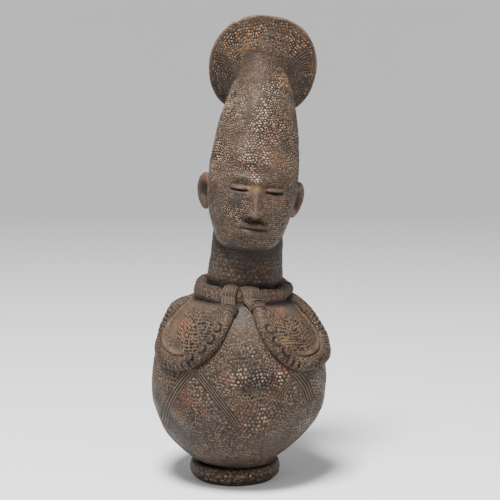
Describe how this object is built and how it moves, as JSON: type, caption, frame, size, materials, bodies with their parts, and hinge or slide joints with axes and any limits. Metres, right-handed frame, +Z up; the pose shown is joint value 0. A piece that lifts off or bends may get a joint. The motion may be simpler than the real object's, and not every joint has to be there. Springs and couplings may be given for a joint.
{
  "type": "head jar",
  "caption": "Hollow earthenware jar in the shape of a person: round body with rope loops on a ring foot, neck, head and a flared disc of hair that opens backwards as its mouth.",
  "frame": {"origin": "middle of the jar's box in X and Y, on the plane that its foot stands on", "axes": "+Z up, the face looks towards -Y, the jar's own left arm side is +X"},
  "size_m": [0.2124, 0.208, 0.5481],
  "materials": {
    "fired_clay": "matte"
  },
  "bodies": {
    "root": {"jar": "fired_clay"}
  },
  "joints": []
}
